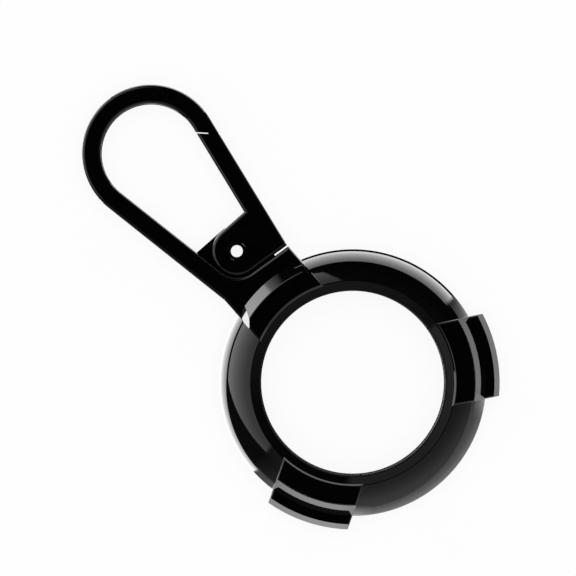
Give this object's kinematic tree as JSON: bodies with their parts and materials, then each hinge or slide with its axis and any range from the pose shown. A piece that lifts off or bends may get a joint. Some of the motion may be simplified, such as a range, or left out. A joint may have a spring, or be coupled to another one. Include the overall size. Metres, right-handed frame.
{
  "type": "tracker tag holder",
  "caption": "Domed ring that clamps a coin-shaped tracker tag between a front and a rear bezel, with a neck and a flat carabiner hook whose sprung gate swings inwards.",
  "frame": {"origin": "centre of the tag pocket, on the plate's mid-plane", "axes": "+X to the gate's side, +Y along the neck to the hook, +Z out of the front"},
  "size_m": [0.0428, 0.0761, 0.0096],
  "materials": {
    "black_metal": "polished black coating",
    "liner_rubber": "matt",
    "black_steel": "black oxide",
    "spring_steel": "bright spring steel"
  },
  "bodies": {
    "holder": {"hook_frame": "black_metal", "rear_bezel": "black_metal", "rear_liner": "liner_rubber", "rear_screws": "black_steel", "snap_ring": "spring_steel", "gate_pin": "black_steel", "gate_spring": "spring_steel"},
    "front_cover": {"front_bezel": "black_metal", "front_liner": "liner_rubber"},
    "swing_gate": {"gate": "black_metal"}
  },
  "joints": [
    {"name": "front_bezel_lift", "type": "slide", "parent": "holder", "child": "front_cover", "axis": [0, 0, 1], "range_m": [0, 0.015], "deforming": ["snap_ring"]},
    {"name": "gate_hinge", "type": "hinge", "parent": "holder", "child": "swing_gate", "pos_m": [0, 0.0263, 0], "axis": [0, 0, 1], "range_deg": [0, 43], "stiffness_Nm_per_rad": 0.02, "springref_deg": -28.65, "deforming": ["gate_spring"]}
  ]
}
